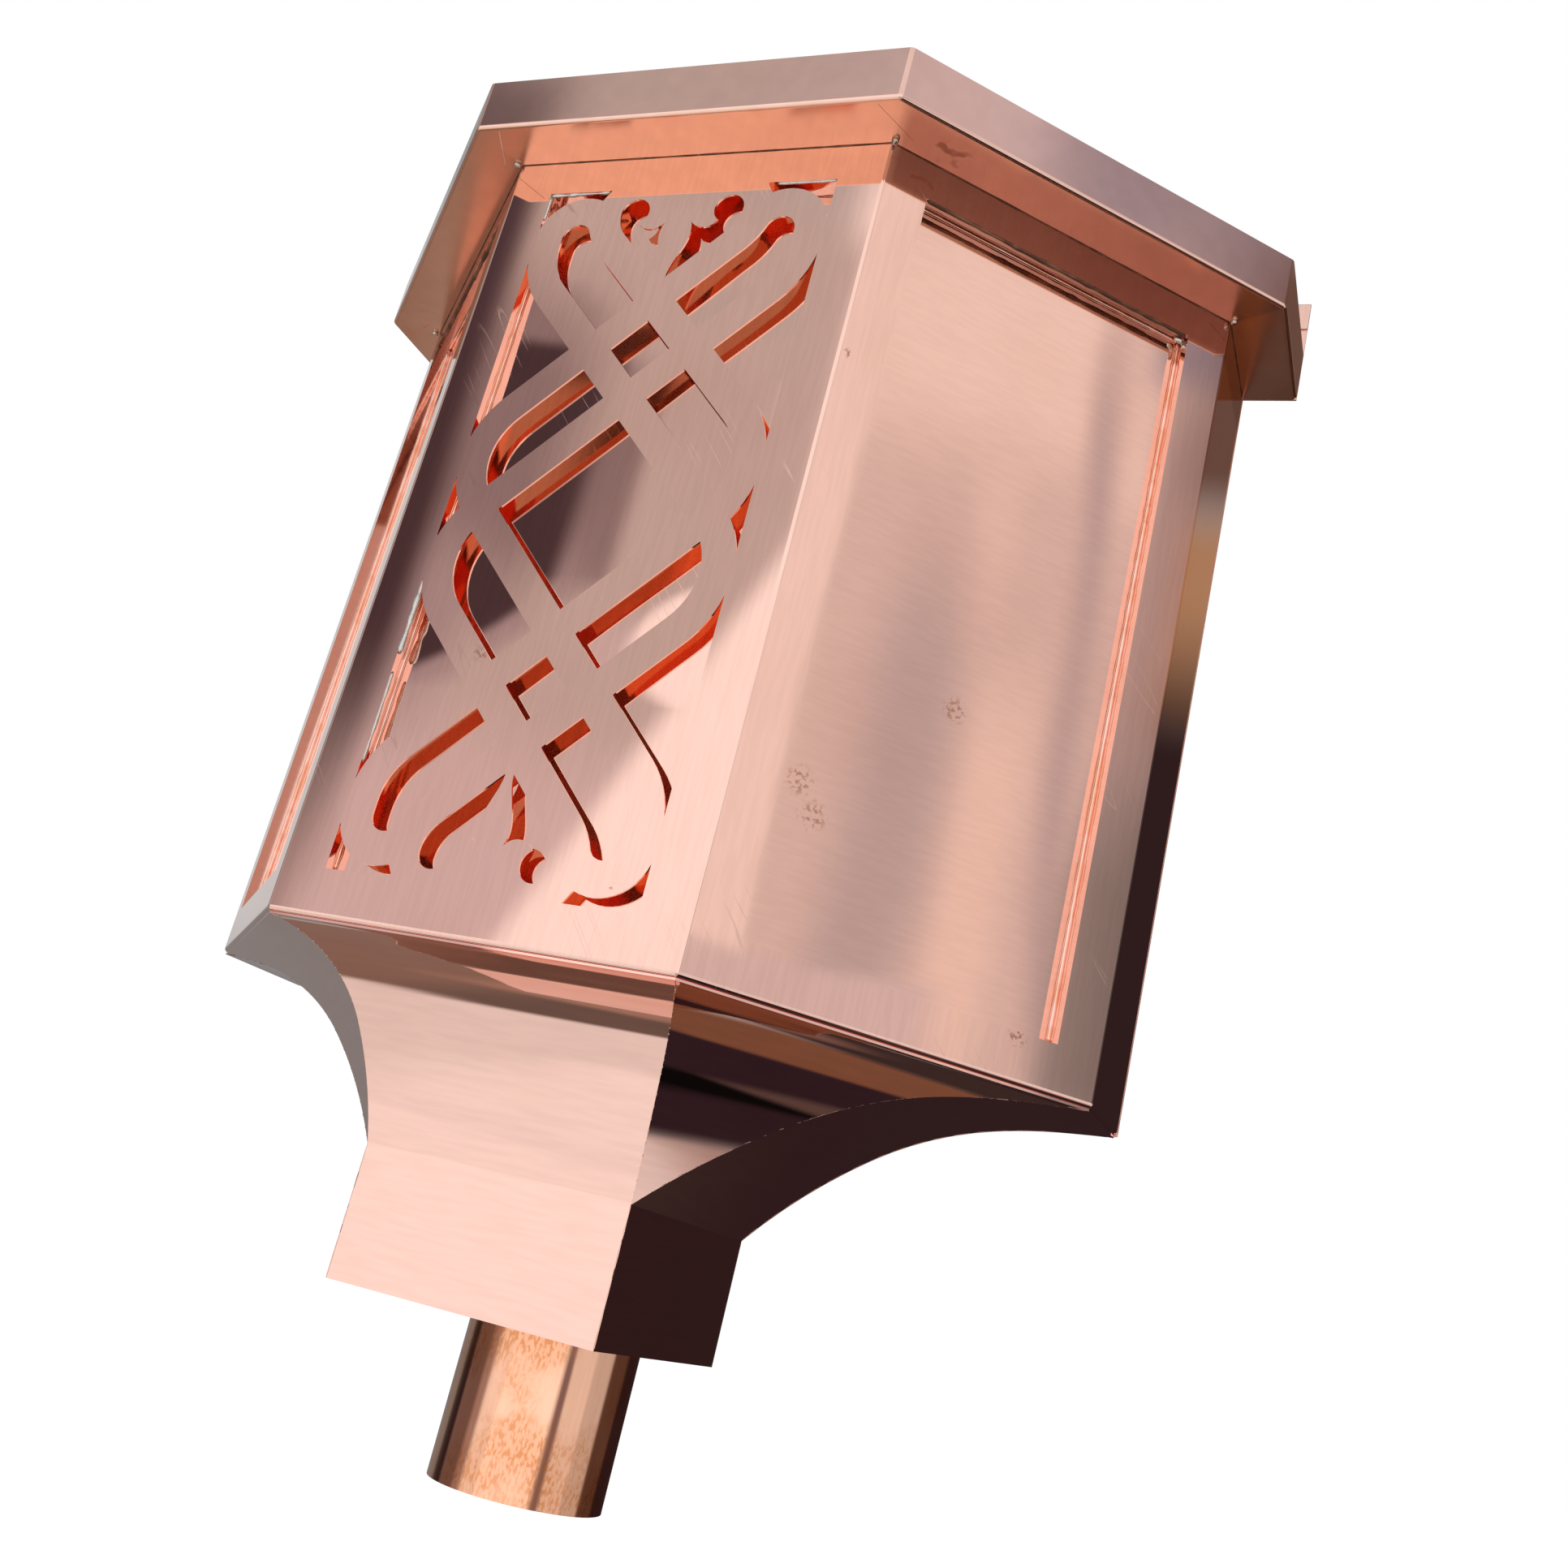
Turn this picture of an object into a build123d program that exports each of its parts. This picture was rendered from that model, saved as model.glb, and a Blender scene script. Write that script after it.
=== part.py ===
from build123d import *
from math import cos, pi, radians, sin, sqrt, tan
import os

# Copper hopper head with a half-octagon plan and a pierced interlace front, soldered up from folded
# sheet. Millimetres. +Z is up, the wall face is the plane y = 0, the front faces -Y, and z = 0 is the
# underside of the overhanging rim.

# Sheet and folds
SHEET = 1.0                 # thickness of the copper sheet
BEND = 2.5                  # outside radius of the folds in the body
BOTTOM_FLANGE = 10.0        # bottom edge turned in under the body
REAR_FLANGE = 12.0          # rear edges turned in for the back plate

# Body plan
FRONT_W = 200.0             # width of the front face
CHAMFER = 138.0             # plan run of each 45 degree chamfer face, in x and in y
SIDE = 66.5                 # side face, from the chamfer back to the back plate

# Pierced field of the front, which sets the height of the windows and the body
FRONT_WINDOW = 76.9         # half width of the field
CROSS_Y = 86.3              # height of the two crossings above and below the middle
CROSS_OUT = 37.85           # outer corner of a crossing, from its centre
CROSS_IN = 15.58            # small diamond of a crossing, centre to corner
LOOP_R = 46.8               # outer radius of the corner loops
CORNER_LAP = 0.85           # how far the corner loops run on under the side of the field
SIDE_LAP = 1.15             # the same for the side loops
END_R = 23.4                # outer radius where a corner loop turns back
END_RISE = 5.1              # straight stretch of a corner loop before it turns back
FIELD_TOP = 27.5            # from the centre of that turn to the top of the field
EYE_X = 25.1                # round eye of a scroll
EYE_RISE = 15.135           # height of its centre above the band edge beneath it
EYE_R = 7.6
SCROLL_STEM = 2.05          # foot of a scroll's opening, from the middle and above the crossing
# Points up the scroll's inner edge, as shares of the way to the eye
SCROLL_LEAF = [(0.203, 0.357), (0.331, 0.655), (0.281, 0.834)]
HEAD_MARGIN = 18.7          # face above the windows
FOOT_MARGIN = 21.93         # face below them
CHAMFER_WINDOW = 75.0       # half width of a chamfer window
FRONT_RECESS = 6.3          # from the outer face to the backing sheet
CHAMFER_RECESS = 7.8
TRAY_FLANGE = 6.0           # tray edge lapped behind the face sheet

# Rim
RIM_OUT = 27.5              # overhang of the rim in front of the body
RIM_H = 28.0                # height of the fascia
RIM_LEG = 9.0               # inner leg of the rim, lapped inside the body
RIM_HEM = 8.0               # fold along the top of the fascia
RIM_EDGE = 2.0              # radius of the fascia's lower edge
FASCIA_BEND = 3.5           # outside radius at the fascia corners
MITRE_GAP = 0.3             # width of the mitre seams in the soffit
MITRE_STOP = 3.0            # the seams end this far short of the fascia

# Back plate
UPSTAND = 60.0              # top of the back plate above the soffit
BACK_HEM = 16.0             # fold along the top of the back plate
HEM_ROUND = 0.9             # radius of the folded top edge
FIXING_INSET = 65.5         # wall fixing holes, in from the ends of the upstand
FIXING_DROP = 8.0           # and down from its top
FIXING_R = 3.5

# Coves and outlet box
COVE_H = 83.0               # height of the coves
BOX_FRONT = 77.2            # how far the front cove runs in, to the front of the box
BOX_H = 59.5                # straight outlet box under the coves
LAP = 5.0                   # cove edge lapped under the bottom flange
PLATE_FLANGE = 8.0          # box bottom edge turned up inside the box
# Points down the cove's outer face, as shares of its run-in and of its height, joined by arcs
FRONT_COVE = [(0.194, 0.037), (0.374, 0.1), (0.719, 0.4)]
SIDE_COVE = [(0.165, 0.037), (0.341, 0.1), (0.671, 0.4)]
FRONT_START = 10.0          # angle below level at which the front and chamfer coves leave the lap
SIDE_START = 4.0            # the same for the side coves

# Outlet
SPIGOT_R = 40.0             # outside radius of the outlet
SPIGOT_X = 12.0             # it sits a little to the right of the middle
SPIGOT_Y = -56.0
SPIGOT_L = 70.0
SPIGOT_FLARE = 6.0          # collar soldered onto the box bottom
SPIGOT_NECK = 0.5           # its top is swaged in by this much to fit the hole
SPIGOT_SEAT = 1.0           # from the box down to the end of the neck

# Derived sizes
T = SHEET
TAN_HALF = tan(radians(22.5))
HALF = FRONT_W / 2
BODY_HALF = HALF + CHAMFER
RIM_HALF = BODY_HALF + RIM_OUT
FRONT_Y = -(CHAMFER + SIDE + T)
BACK_Y = -T                 # front face of the back plate
OVER = 5 * T                # overrun of cutting tools

BAND = (CROSS_OUT - CROSS_IN) / sqrt(2)
MIDDLE = CROSS_Y - CROSS_OUT
CORNER_REACH = FRONT_WINDOW + CORNER_LAP
CORNER_LOOP = (CORNER_REACH - LOOP_R, CORNER_REACH + MIDDLE + LOOP_R * TAN_HALF)
END_LOOP = (CORNER_REACH - END_R, CORNER_LOOP[1] + END_RISE)
EYE = (EYE_X, CROSS_Y + CROSS_OUT + EYE_X + EYE_RISE)
FIELD_HALF = END_LOOP[1] + FIELD_TOP
SIDE_TIP = (CROSS_Y + CROSS_OUT + MIDDLE + BAND * sqrt(2)) / 2
SIDE_R = (SIDE_TIP - FRONT_WINDOW - SIDE_LAP) / (sqrt(2) - 1)
SIDE_LOOP = (SIDE_TIP - SIDE_R * sqrt(2), CROSS_Y + CROSS_OUT - SIDE_TIP)

WINDOW_MID = -HEAD_MARGIN - FIELD_HALF
BODY_H = HEAD_MARGIN + 2 * FIELD_HALF + FOOT_MARGIN
BOX_HALF = HALF - BOX_FRONT * TAN_HALF
SIDE_REACH = BODY_HALF - BOX_HALF
COVE_END = -BODY_H - COVE_H
BOX_BOTTOM = COVE_END - BOX_H

FRONT_PLANE = Plane(origin=(0, FRONT_Y, 0), x_dir=(1, 0, 0), z_dir=(0, -1, 0))
CHAMFER_PLANE = Plane(
    origin=(HALF + CHAMFER / 2, FRONT_Y + CHAMFER / 2, 0),
    x_dir=(cos(pi / 4), sin(pi / 4), 0),
    z_dir=(sin(pi / 4), -cos(pi / 4), 0),
)


# Plan outline and prisms
def plan_points(inset, back_y):
    """Half-octagon plan, every face moved in by inset, or out where it is negative."""
    front_x = HALF - inset * TAN_HALF
    side_y = FRONT_Y + CHAMFER + inset * TAN_HALF
    side_x = BODY_HALF - inset
    right = [(front_x, FRONT_Y + inset), (side_x, side_y), (side_x, back_y)]
    return right + [(-x, y) for x, y in reversed(right)]


def plan_prism(inset, back_y, z0, z1, bend=0.0, rear_bend=0.0, bottom_bend=0.0):
    """Upright prism on the plan outline, with rounded folds and a rounded bottom edge."""
    face = make_face(Polyline(*plan_points(inset, back_y), close=True))
    if bend > 0:
        face = fillet([v for v in face.vertices() if v.Y < back_y - T], bend)
    if rear_bend > 0:
        face = fillet(face.vertices().group_by(Axis.Y)[-1], rear_bend)
    body = extrude(Pos(0, 0, z0) * face, z1 - z0)
    if bottom_bend > 0:
        body = fillet(body.faces().sort_by(Axis.Z)[0].edges(), bottom_bend)
    return body


def block(x0, x1, y0, y1, z0, z1):
    return Pos((x0 + x1) / 2, (y0 + y1) / 2, (z0 + z1) / 2) * Box(x1 - x0, y1 - y0, z1 - z0)


def mirrored(part):
    return mirror(part, about=Plane.YZ)


# Interlace, drawn about its own middle: x across, y up
def on_circle(centre, radius, degrees):
    a = radians(degrees)
    return (centre[0] + radius * cos(a), centre[1] + radius * sin(a))


def arc_between(centre, radius, start, end):
    return ThreePointArc(
        on_circle(centre, radius, start),
        on_circle(centre, radius, (start + end) / 2),
        on_circle(centre, radius, end),
    )


def height_on(centre, radius, x):
    """Height above its centre at which a circle passes x."""
    return sqrt(radius * radius - (x - centre[0]) ** 2)


def meet(total, difference):
    """Point with x + y = total and y - x = difference."""
    return ((total - difference) / 2, (total + difference) / 2)


def outline(*edges):
    return make_face(Wire(list(edges)))


def diamond(mid_y, half):
    corners = [(0, mid_y + half), (half, mid_y), (0, mid_y - half), (-half, mid_y)]
    return make_face(Polyline(*corners, close=True))


def side_loop_slot():
    """Slot inside a side loop, from a crossing to the point where the next band cuts it off."""
    radius = SIDE_R - BAND
    low = CROSS_Y - CROSS_IN
    top = meet(CROSS_Y + CROSS_IN, CROSS_Y - CROSS_OUT)
    left = meet(low, CROSS_Y - CROSS_OUT)
    # lower end of the inner arc, on the band edge x + y = low
    b = SIDE_LOOP[0] - low - SIDE_LOOP[1]
    c = ((low - SIDE_LOOP[0]) ** 2 + SIDE_LOOP[1] ** 2 - radius ** 2) / 2
    tip_y = (-b - sqrt(b * b - 4 * c)) / 2
    tip = (low - tip_y, tip_y)
    start = on_circle(SIDE_LOOP, radius, 45)
    return outline(
        Line(left, top),
        Line(top, start),
        ThreePointArc(start, on_circle(SIDE_LOOP, radius, 10), tip),
        Line(tip, left),
    )


def hairpin_slot():
    """Slot inside a corner loop, from the crossing to its rounded end."""
    upper_edge = CROSS_Y + CROSS_IN
    near = meet(CROSS_Y + CROSS_OUT, upper_edge)
    far = meet(CROSS_Y + CROSS_OUT, CROSS_Y - CROSS_IN)
    radius = LOOP_R - BAND
    end_radius = END_R - BAND
    straight = (END_LOOP[0] + end_radius, END_LOOP[1])
    knee_angle = 149
    bow_x = END_LOOP[0] - 1.94 * end_radius
    bow_mid = (END_LOOP[0] - 1.274 * end_radius, END_LOOP[1] - 0.34 * end_radius)
    bow_start = (bow_x, bow_x + upper_edge)
    return outline(
        Line(near, far),
        Line(far, on_circle(CORNER_LOOP, radius, -45)),
        arc_between(CORNER_LOOP, radius, -45, 0),
        Line(on_circle(CORNER_LOOP, radius, 0), straight),
        arc_between(END_LOOP, end_radius, 0, knee_angle),
        ThreePointArc(on_circle(END_LOOP, end_radius, knee_angle), bow_mid, bow_start),
        Line(bow_start, near),
    )


def side_gap():
    """Opening between the loops and the side of the field, at a crossing."""
    upper = (FRONT_WINDOW, CORNER_LOOP[1] - height_on(CORNER_LOOP, LOOP_R, FRONT_WINDOW))
    lower = (FRONT_WINDOW, SIDE_LOOP[1] + height_on(SIDE_LOOP, SIDE_R, FRONT_WINDOW))
    corner = (CROSS_OUT, CROSS_Y)
    up = on_circle(CORNER_LOOP, LOOP_R, -45)
    down = on_circle(SIDE_LOOP, SIDE_R, 45)
    return outline(
        Line(corner, up),
        ThreePointArc(up, on_circle(CORNER_LOOP, LOOP_R, -30), upper),
        Line(upper, lower),
        ThreePointArc(lower, on_circle(SIDE_LOOP, SIDE_R, 30), down),
        Line(down, corner),
    )


def waist_gap():
    """Small three-sided opening at the side of the field, where the two side loops cross."""
    edge_y = SIDE_LOOP[1] - height_on(SIDE_LOOP, SIDE_R, FRONT_WINDOW)
    tip = (SIDE_LOOP[0] + sqrt(SIDE_R ** 2 - SIDE_LOOP[1] ** 2), 0)
    mid_x = (FRONT_WINDOW + tip[0]) / 2
    mid_y = SIDE_LOOP[1] - height_on(SIDE_LOOP, SIDE_R, mid_x)
    return outline(
        ThreePointArc((FRONT_WINDOW, edge_y), (mid_x, mid_y), tip),
        ThreePointArc(tip, (mid_x, -mid_y), (FRONT_WINDOW, -edge_y)),
        Line((FRONT_WINDOW, -edge_y), (FRONT_WINDOW, edge_y)),
    )


def corner_gap():
    """Opening between a corner loop and the corner of the field."""
    side = (FRONT_WINDOW, END_LOOP[1] + height_on(END_LOOP, END_R, FRONT_WINDOW))
    cusp_x = END_LOOP[0] - 8.85
    cusp = (cusp_x, END_LOOP[1] + height_on(END_LOOP, END_R, cusp_x))
    edge = (cusp_x - 3.6, FIELD_HALF)
    corner = (FRONT_WINDOW, FIELD_HALF)
    return outline(
        Line(edge, corner),
        Line(corner, side),
        ThreePointArc(side, on_circle(END_LOOP, END_R, 70), cusp),
        Line(cusp, edge),
    )


def scroll_gap():
    """Opening with the round eye, between the leaf in the middle and the inner band."""
    apex = CROSS_Y + CROSS_OUT
    stem = (SCROLL_STEM, apex + SCROLL_STEM)
    climb = EYE[1] - apex
    leaf = [stem] + [(EYE_X * across, apex + climb * up) for across, up in SCROLL_LEAF]
    notch = (0.574 * EYE_X, EYE[1] - 1.355 * EYE_R)
    hook = on_circle(EYE, EYE_R, -120)
    eye_side = (EYE[0] + EYE_R, EYE[1])
    # bow that leaves the eye straight down and meets the band edge at 45 degrees
    drop = eye_side[1] - (eye_side[0] + apex)
    turn = (eye_side[0] - drop / sqrt(2), eye_side[1] - drop - drop / sqrt(2))
    bow = drop / TAN_HALF
    return outline(
        Spline(*leaf),
        ThreePointArc(leaf[-1], notch, hook),
        ThreePointArc(hook, on_circle(EYE, EYE_R, 120), eye_side),
        ThreePointArc(eye_side, on_circle((eye_side[0] - bow, eye_side[1]), bow, -22.5), turn),
        Line(turn, stem),
    )


def interlace_openings():
    quarter = [side_loop_slot(), hairpin_slot(), side_gap(), corner_gap(), scroll_gap()]
    half = quarter + [mirror(face, about=Plane.XZ) for face in quarter] + [waist_gap()]
    middle = [diamond(0, MIDDLE), diamond(CROSS_Y, CROSS_IN), diamond(-CROSS_Y, CROSS_IN)]
    return half + [mirror(face, about=Plane.YZ) for face in half] + middle


def cutter(plane, face):
    """Prism through a face sheet, from an outline drawn about the middle of its window."""
    placed = plane * Pos(0, WINDOW_MID, -OVER / 2) * face
    return extrude(placed, OVER, dir=plane.z_dir)


# Body and trays
def make_body_skin():
    skin = plan_prism(0, BACK_Y, -BODY_H, 0, BEND, BEND, BEND)
    inner_bend = BEND - T
    inside = plan_prism(T, BACK_Y - T, T - BODY_H, OVER, inner_bend, inner_bend, inner_bend)
    bottom_window = plan_prism(BOTTOM_FLANGE, OVER, -BODY_H - OVER, OVER - BODY_H)
    rear = BODY_HALF - REAR_FLANGE
    rear_window = block(-rear, rear, BACK_Y - 2 * T, BACK_Y + OVER, -BODY_H - OVER, OVER)
    skin = skin - inside - bottom_window - rear_window
    window = cutter(CHAMFER_PLANE, Rectangle(2 * CHAMFER_WINDOW, 2 * FIELD_HALF))
    skin = skin - window - mirrored(window)
    for face in interlace_openings():
        skin = skin - cutter(FRONT_PLANE, face)
    return skin


def make_tray(plane, half_width, recess):
    """Recessed backing: a panel with four walls and a flange lapped behind the face sheet."""
    at = plane * Pos(0, WINDOW_MID, 0)

    def slab(grow, near, far):
        size = (2 * (half_width + grow), 2 * (FIELD_HALF + grow), far - near)
        return at * Pos(0, 0, -(near + far) / 2) * Box(*size)

    shell = slab(T + TRAY_FLANGE, T, 2 * T) + slab(T, T, recess + T)
    return shell - slab(0, 0, recess)


# Rim
def mitre_slit(index):
    """Seam in the soffit, out from a front or side corner of the body."""
    near = Vector(*plan_points(0, BACK_Y)[index])
    far = Vector(*plan_points(MITRE_STOP - RIM_OUT, BACK_Y)[index])
    along = far - near
    turn = Vector(1, 0, 0).get_signed_angle(along)
    middle = (near + far) / 2
    return Pos(middle.X, middle.Y, 0) * Rot(0, 0, turn) * Box(along.length, MITRE_GAP, OVER)


def make_rim_band():
    outer = plan_prism(-RIM_OUT, BACK_Y, 0, RIM_H, FASCIA_BEND)
    low_edges = outer.faces().sort_by(Axis.Z)[0].edges().sort_by(Axis.Y)[:-1]
    outer = fillet(low_edges, RIM_EDGE)
    hollow = plan_prism(T - RIM_OUT, OVER, T, RIM_H + OVER, FASCIA_BEND - T)
    mouth = plan_prism(2 * T, OVER, -OVER, OVER, BEND - 2 * T)
    hem = plan_prism(T - RIM_OUT, BACK_Y, RIM_H - RIM_HEM, RIM_H, FASCIA_BEND - T)
    hem = hem - plan_prism(2 * T - RIM_OUT, OVER, 0, RIM_H + OVER, FASCIA_BEND - 2 * T)
    leg = plan_prism(T, BACK_Y - BEND, -RIM_LEG, T, BEND - T)
    leg = leg - plan_prism(2 * T, OVER, -RIM_LEG - OVER, OVER, BEND - 2 * T)
    band = (outer - hollow - mouth) + hem + leg
    for index in range(2):
        slit = mitre_slit(index)
        band = band - slit - mirrored(slit)
    return band


# Coves and outlet box
def arc_chain(points, tangent):
    """Arcs through points, each starting in the direction in which the one before ends."""
    arcs = []
    for start, end in zip(points, points[1:]):
        arcs.append(TangentArc(start, end, tangent=tangent))
        tangent = arcs[-1] % 1
    return arcs


def cove_arcs(points, start_angle, reach):
    """Outer face of a cove in section: run-in across, height up."""
    start = (LAP, -BODY_H - T)
    down = [(reach * run, -BODY_H - COVE_H * drop) for run, drop in points]
    tangent = (cos(radians(start_angle)), -sin(radians(start_angle)))
    return arc_chain([start, *down, (reach, COVE_END)], tangent)


def cove_section(arcs):
    """Section of a cove sheet, with the lap above it and the straight box wall below it."""
    reach = (arcs[-1] @ 1).X
    inner = []
    for arc in arcs[:-1]:
        at, along = arc @ 1, (arc % 1).normalized()
        inner.append((at.X - T * along.Y, at.Y + T * along.X))
    # the ends of the inner face, where it turns into the lap and into the box wall
    at_lap = Vector(1, 0) + (arcs[0] % 0).normalized()
    at_box = Vector(0, -1) + (arcs[-1] % 1).normalized()
    first = (LAP - T * at_lap.Y / at_lap.X, -BODY_H)
    last = (reach + T, COVE_END - T * at_box.X / at_box.Y)
    edge = 1.5 * T
    return outline(
        Line((edge, -BODY_H - T), (LAP, -BODY_H - T)),
        *arcs,
        Line((reach, COVE_END), (reach, BOX_BOTTOM)),
        Line((reach, BOX_BOTTOM), (reach + T, BOX_BOTTOM)),
        Line((reach + T, BOX_BOTTOM), last),
        *arc_chain([first, *inner, last], arcs[0] % 0),
        Line(first, (edge, -BODY_H)),
        Line((edge, -BODY_H), (edge, -BODY_H - T)),
    )


def run_at(curve, z):
    """Run-in of a cove's outer face at a height."""
    low, high = 0.0, 1.0
    for _ in range(40):
        middle = (low + high) / 2
        if (curve @ middle).Y > z:
            low = middle
        else:
            high = middle
    return (curve @ low).X


def mitre_line():
    """Plan line of the seam between a chamfer cove and a side cove, from the fold to the box."""
    front = Wire(cove_arcs(FRONT_COVE, FRONT_START, BOX_FRONT))
    side = Wire(cove_arcs(SIDE_COVE, SIDE_START, SIDE_REACH))
    steps = 8
    points = []
    for i in range(steps):
        z = -BODY_H - T - (COVE_H - T) * (i / steps) ** 2
        run, across = run_at(front, z), run_at(side, z)
        points.append((BODY_HALF - across, FRONT_Y + CHAMFER - across + sqrt(2) * run))
    return points + [(BOX_HALF, FRONT_Y + BOX_FRONT)]


def region(*edges):
    """Upright prism that holds one of the cove sheets between its seams."""
    return extrude(Pos(0, 0, BOX_BOTTOM - T) * make_face(Wire(list(edges))), COVE_H + BOX_H + 2 * T)


def make_coves():
    corner = (BOX_HALF, FRONT_Y + BOX_FRONT)
    inside = (corner[0] - OVER, corner[1] + OVER)
    fold = (HALF + OVER * TAN_HALF, FRONT_Y - OVER)
    outside = (BODY_HALF + OVER, FRONT_Y + CHAMFER - OVER * TAN_HALF)
    rear = (BODY_HALF + OVER, BACK_Y)
    seam = mitre_line()
    seam_edges = [Line(outside, seam[0]), Spline(*seam)]

    def left(point):
        return (-point[0], point[1])

    front_region = region(
        Line(fold, corner), Line(corner, inside), Line(inside, left(inside)),
        Line(left(inside), left(corner)), Line(left(corner), left(fold)), Line(left(fold), fold),
    )
    chamfer_region = region(*seam_edges, Line(corner, fold), Line(fold, outside))
    side_region = region(
        *seam_edges, Line(corner, inside), Line(inside, (inside[0], BACK_Y)),
        Line((inside[0], BACK_Y), rear), Line(rear, outside),
    )

    front_profile = cove_section(cove_arcs(FRONT_COVE, FRONT_START, BOX_FRONT))
    side_profile = cove_section(cove_arcs(SIDE_COVE, SIDE_START, SIDE_REACH))
    front_at = Plane(origin=(0, FRONT_Y, 0), x_dir=(0, 1, 0), z_dir=(1, 0, 0))
    chamfer_at = Plane(
        origin=CHAMFER_PLANE.origin,
        x_dir=(-sin(pi / 4), cos(pi / 4), 0),
        z_dir=(cos(pi / 4), sin(pi / 4), 0),
    )
    side_at = Plane(origin=(BODY_HALF, FRONT_Y + CHAMFER, 0), x_dir=(-1, 0, 0), z_dir=(0, 1, 0))

    def sheet(plane, profile, within):
        return extrude(plane * profile, BODY_HALF, both=True) & within

    return (
        sheet(front_at, front_profile, front_region),
        sheet(chamfer_at, front_profile, chamfer_region),
        sheet(side_at, side_profile, side_region),
    )


# Back plate
def make_back_plate():
    """Flat plate with the outline of what it closes, and a hemmed upstand behind the rim."""
    plate = block(-RIM_HALF, RIM_HALF, BACK_Y, 0, 0, UPSTAND)
    plate += block(-RIM_HALF, RIM_HALF, BACK_Y - T, 0, UPSTAND - BACK_HEM, UPSTAND)
    plate += block(-BODY_HALF, BODY_HALF, BACK_Y, 0, -BODY_H, 0)
    plate += block(-BOX_HALF, BOX_HALF, BACK_Y, 0, BOX_BOTTOM, COVE_END)
    # between them it follows the side coves
    arcs = cove_arcs(SIDE_COVE, SIDE_START, SIDE_REACH)
    right = [mirrored(arc).edge().moved(Pos(BODY_HALF, 0, 0)) for arc in arcs]
    left = [mirrored(arc).edge() for arc in right]
    corner = (BODY_HALF, -BODY_H)
    lap_end = (BODY_HALF - LAP, -BODY_H - T)
    cove = outline(
        Line((-corner[0], corner[1]), corner),
        Line(corner, lap_end),
        *right,
        Line((BOX_HALF, COVE_END), (-BOX_HALF, COVE_END)),
        *left,
        Line((-lap_end[0], lap_end[1]), (-corner[0], corner[1])),
    )
    plane = Plane(origin=(0, BACK_Y, 0), x_dir=(1, 0, 0), z_dir=(0, -1, 0))
    plate += extrude(plane * cove, T, dir=(0, 1, 0))
    plate = fillet(plate.edges().filter_by(Axis.X).group_by(Axis.Z)[-1], HEM_ROUND)
    for x in (FIXING_INSET - RIM_HALF, RIM_HALF - FIXING_INSET):
        plate -= Pos(x, 0, UPSTAND - FIXING_DROP) * Rot(90, 0, 0) * Cylinder(FIXING_R, 2 * OVER)
    return plate


# Outlet
def make_box_bottom():
    """Shallow pan inside the outlet box, with the hole for the spigot."""
    x = BOX_HALF - T
    front = FRONT_Y + BOX_FRONT + T
    top = BOX_BOTTOM + PLATE_FLANGE
    pan = block(-x, x, front, BACK_Y, BOX_BOTTOM, top)
    pan -= block(T - x, x - T, front + T, BACK_Y - T, BOX_BOTTOM + T, top + OVER)
    return pan - Pos(SPIGOT_X, SPIGOT_Y, BOX_BOTTOM) * Cylinder(SPIGOT_R - SPIGOT_NECK, OVER)


def spigot_drum(radius, z0, z1):
    """Upright cylinder on the spigot's axis."""
    return Pos(SPIGOT_X, SPIGOT_Y, (z0 + z1) / 2) * Cylinder(radius, z1 - z0)


def make_spigot():
    """Tube with a swaged neck through the box bottom and a collar soldered onto it."""
    top = BOX_BOTTOM + 2 * T
    seat = BOX_BOTTOM - SPIGOT_SEAT
    foot = BOX_BOTTOM - SPIGOT_L
    neck_r = SPIGOT_R - SPIGOT_NECK
    tube = spigot_drum(SPIGOT_R, foot, seat) + spigot_drum(neck_r, seat - T, top)
    tube += spigot_drum(SPIGOT_R + SPIGOT_FLARE, top - T, top)
    tube -= spigot_drum(SPIGOT_R - T, foot - OVER, seat - T)
    return tube - spigot_drum(neck_r - T, seat - 2 * T, top + OVER)


def make_parts():
    front_cove, chamfer_cove, side_cove = make_coves()
    panel_tray = make_tray(CHAMFER_PLANE, CHAMFER_WINDOW, CHAMFER_RECESS)
    return {
        "body_skin": make_body_skin(),
        "front_backing_tray": make_tray(FRONT_PLANE, FRONT_WINDOW, FRONT_RECESS),
        "right_panel_tray": panel_tray,
        "left_panel_tray": mirrored(panel_tray),
        "rim_band": make_rim_band(),
        "back_plate": make_back_plate(),
        "front_cove": front_cove,
        "right_chamfer_cove": chamfer_cove,
        "left_chamfer_cove": mirrored(chamfer_cove),
        "right_side_cove": side_cove,
        "left_side_cove": mirrored(side_cove),
        "box_bottom": make_box_bottom(),
        "outlet_spigot": make_spigot(),
    }


os.makedirs("parts", exist_ok=True)
for name, shape in make_parts().items():
    export_step(shape, "parts/" + name + ".step")
    print(name, len(shape.solids()), round(shape.volume, 1), shape.is_valid)
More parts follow.
